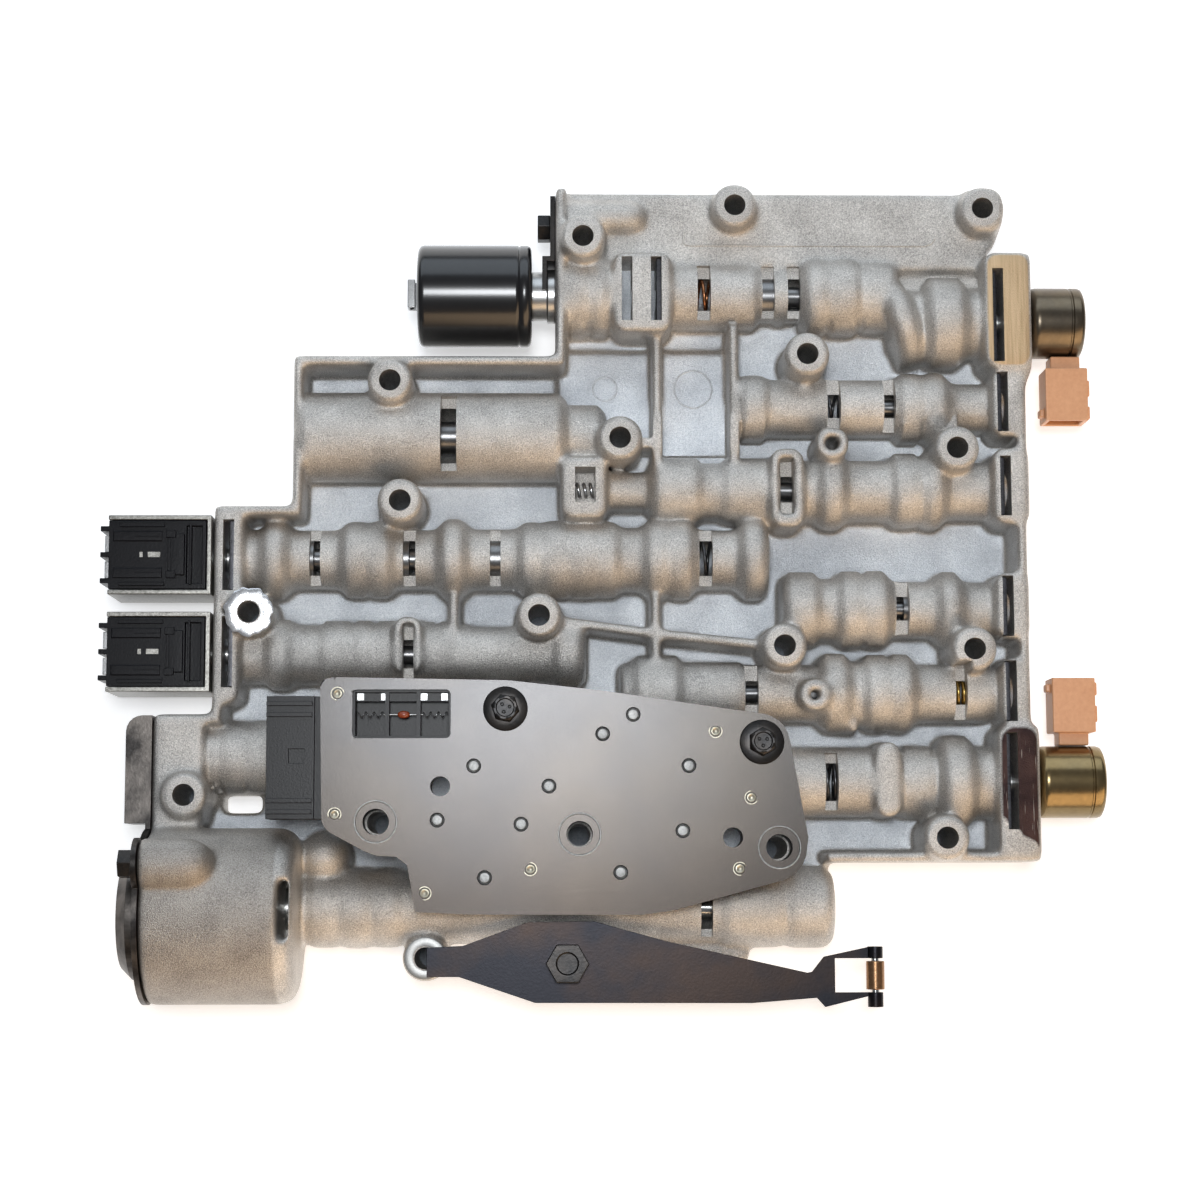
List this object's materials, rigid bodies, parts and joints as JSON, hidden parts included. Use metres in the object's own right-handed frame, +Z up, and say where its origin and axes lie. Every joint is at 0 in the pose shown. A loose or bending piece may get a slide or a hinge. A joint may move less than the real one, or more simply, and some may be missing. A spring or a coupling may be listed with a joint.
{
  "type": "transmission valve body",
  "caption": "Hydraulic control valve body of an automatic transmission: cast rows of spool-valve bores with solenoids, pressure switch, accumulator and detent spring.",
  "frame": {"origin": "hole of the middle case bolt, in the machined mating face", "axes": "+X along the valve bores towards the clutch solenoid, +Y across the bores towards the bolt flange, +Z up from the mating face"},
  "size_m": [0.3123, 0.2589, 0.0583],
  "materials": {
    "cast_aluminium": "as-cast, fine grain",
    "switch_steel": "satin",
    "black_plastic": "moulded, satin",
    "seal_rubber": "matt",
    "rivet_metal": "satin",
    "terminal_metal": "tinned",
    "orange_plastic": "glossy",
    "dark_steel": "blackened",
    "black_can": "glossy black",
    "machined_aluminium": "machined",
    "frame_steel": "satin",
    "gold_can": "yellow zinc plate",
    "dark_gold_can": "dull yellow zinc plate",
    "peach_plastic": "moulded, satin",
    "clip_steel": "dark spring steel",
    "cover_steel": "oil-stained steel",
    "spring_steel": "dark wire",
    "brass_wire": "wire",
    "ground_steel": "ground",
    "blued_steel": "blued, with brown patches",
    "bronze": "worn",
    "valve_metal": "hard anodised"
  },
  "bodies": {
    "body": {"valve_body_casting": "cast_aluminium", "switch_plate": "switch_steel", "switch_housing": "black_plastic", "switch_seals": "seal_rubber", "switch_rivets": "rivet_metal", "switch_terminals": "terminal_metal", "switch_thermistor": "orange_plastic", "switch_bolts": "dark_steel", "pressure_solenoid_can": "black_can", "pressure_solenoid_terminal": "terminal_metal", "pressure_solenoid_nose": "machined_aluminium", "pressure_solenoid_bracket": "dark_steel", "bracket_bolt": "dark_steel", "shift_solenoid_a_frame": "frame_steel", "shift_solenoid_a_coil": "black_plastic", "shift_solenoid_a_nose": "machined_aluminium", "shift_solenoid_b_frame": "frame_steel", "shift_solenoid_b_coil": "black_plastic", "shift_solenoid_b_nose": "machined_aluminium", "shift_solenoid_terminals": "terminal_metal", "clutch_solenoid_can": "gold_can", "clutch_solenoid_connector": "peach_plastic", "clutch_solenoid_nose": "machined_aluminium", "downshift_solenoid_can": "dark_gold_can", "downshift_solenoid_connector": "peach_plastic", "downshift_solenoid_nose": "machined_aluminium", "retainer_clips": "clip_steel", "bore_plugs": "machined_aluminium", "accumulator_cover": "cover_steel", "accumulator_cover_bolts": "dark_steel", "accumulator_spring": "spring_steel", "accumulator_pin": "ground_steel", "detent_spring": "blued_steel", "detent_bolt": "dark_steel", "detent_roller_pin": "ground_steel", "feed_limit_spring": "spring_steel", "downshift_control_spring": "spring_steel", "sequence_spring": "spring_steel", "regulator_spring": "spring_steel", "relay_spring": "spring_steel", "shift_spring_a": "spring_steel", "shift_spring_b": "spring_steel", "downshift_spring": "spring_steel", "overrun_spring": "brass_wire", "clutch_apply_spring": "spring_steel"},
    "feed_limit_valve": {"feed_limit_valve": "valve_metal"},
    "downshift_control_valve": {"downshift_control_valve": "valve_metal"},
    "sequence_valve": {"sequence_valve": "valve_metal"},
    "regulator_valve": {"regulator_valve": "valve_metal"},
    "relay_valve": {"relay_valve": "valve_metal"},
    "shift_valve_a": {"shift_valve_a": "valve_metal"},
    "shift_valve_b": {"shift_valve_b": "valve_metal"},
    "downshift_valve": {"downshift_valve": "valve_metal"},
    "overrun_valve": {"overrun_valve": "valve_metal"},
    "clutch_apply_valve": {"clutch_apply_valve": "valve_metal"},
    "accumulator_piston": {"accumulator_piston": "machined_aluminium", "accumulator_seal": "seal_rubber"},
    "shuttle_valve": {"shuttle_valve": "valve_metal"},
    "manual_valve": {"manual_valve": "ground_steel"},
    "detent_roller": {"detent_roller": "bronze"}
  },
  "joints": [
    {"name": "feed_limit_slide", "type": "slide", "parent": "body", "child": "feed_limit_valve", "axis": [-1, 0, 0], "range_m": [0, 0.006], "stiffness_N_per_m": 900, "springref_m": -0.003, "deforming": ["feed_limit_spring"]},
    {"name": "downshift_control_slide", "type": "slide", "parent": "body", "child": "downshift_control_valve", "axis": [-1, 0, 0], "range_m": [0, 0.006], "stiffness_N_per_m": 900, "springref_m": -0.003, "deforming": ["downshift_control_spring"]},
    {"name": "sequence_slide", "type": "slide", "parent": "body", "child": "sequence_valve", "axis": [-1, 0, 0], "range_m": [0, 0.007], "stiffness_N_per_m": 900, "springref_m": -0.003, "deforming": ["sequence_spring"]},
    {"name": "regulator_slide", "type": "slide", "parent": "body", "child": "regulator_valve", "axis": [1, 0, 0], "range_m": [0, 0.006], "stiffness_N_per_m": 1500, "springref_m": -0.003, "deforming": ["regulator_spring"]},
    {"name": "relay_slide", "type": "slide", "parent": "body", "child": "relay_valve", "axis": [-1, 0, 0], "range_m": [0, 0.005], "stiffness_N_per_m": 900, "springref_m": -0.003, "deforming": ["relay_spring"]},
    {"name": "shift_a_slide", "type": "slide", "parent": "body", "child": "shift_valve_a", "axis": [1, 0, 0], "range_m": [0, 0.006], "stiffness_N_per_m": 900, "springref_m": -0.003, "deforming": ["shift_spring_a"]},
    {"name": "shift_b_slide", "type": "slide", "parent": "body", "child": "shift_valve_b", "axis": [1, 0, 0], "range_m": [0, 0.006], "stiffness_N_per_m": 900, "springref_m": -0.003, "deforming": ["shift_spring_b"]},
    {"name": "downshift_slide", "type": "slide", "parent": "body", "child": "downshift_valve", "axis": [-1, 0, 0], "range_m": [0, 0.006], "stiffness_N_per_m": 900, "springref_m": -0.003, "deforming": ["downshift_spring"]},
    {"name": "overrun_slide", "type": "slide", "parent": "body", "child": "overrun_valve", "axis": [1, 0, 0], "range_m": [0, 0.005], "stiffness_N_per_m": 900, "springref_m": -0.003, "deforming": ["overrun_spring"]},
    {"name": "clutch_apply_slide", "type": "slide", "parent": "body", "child": "clutch_apply_valve", "axis": [-1, 0, 0], "range_m": [0, 0.006], "stiffness_N_per_m": 900, "springref_m": -0.003, "deforming": ["clutch_apply_spring"]},
    {"name": "accumulator_slide", "type": "slide", "parent": "body", "child": "accumulator_piston", "axis": [1, 0, 0], "range_m": [0, 0.008], "stiffness_N_per_m": 3000, "springref_m": -0.003, "deforming": ["accumulator_spring"]},
    {"name": "shuttle_slide", "type": "slide", "parent": "body", "child": "shuttle_valve", "axis": [1, 0, 0], "range_m": [0, 0.008]},
    {"name": "manual_slide", "type": "slide", "parent": "body", "child": "manual_valve", "axis": [1, 0, 0], "range_m": [0, 0.018]},
    {"name": "roller_spin", "type": "hinge", "parent": "body", "child": "detent_roller", "pos_m": [0.10282, -0.1103, 0.03265], "axis": [0, 1, 0], "continuous": true}
  ]
}
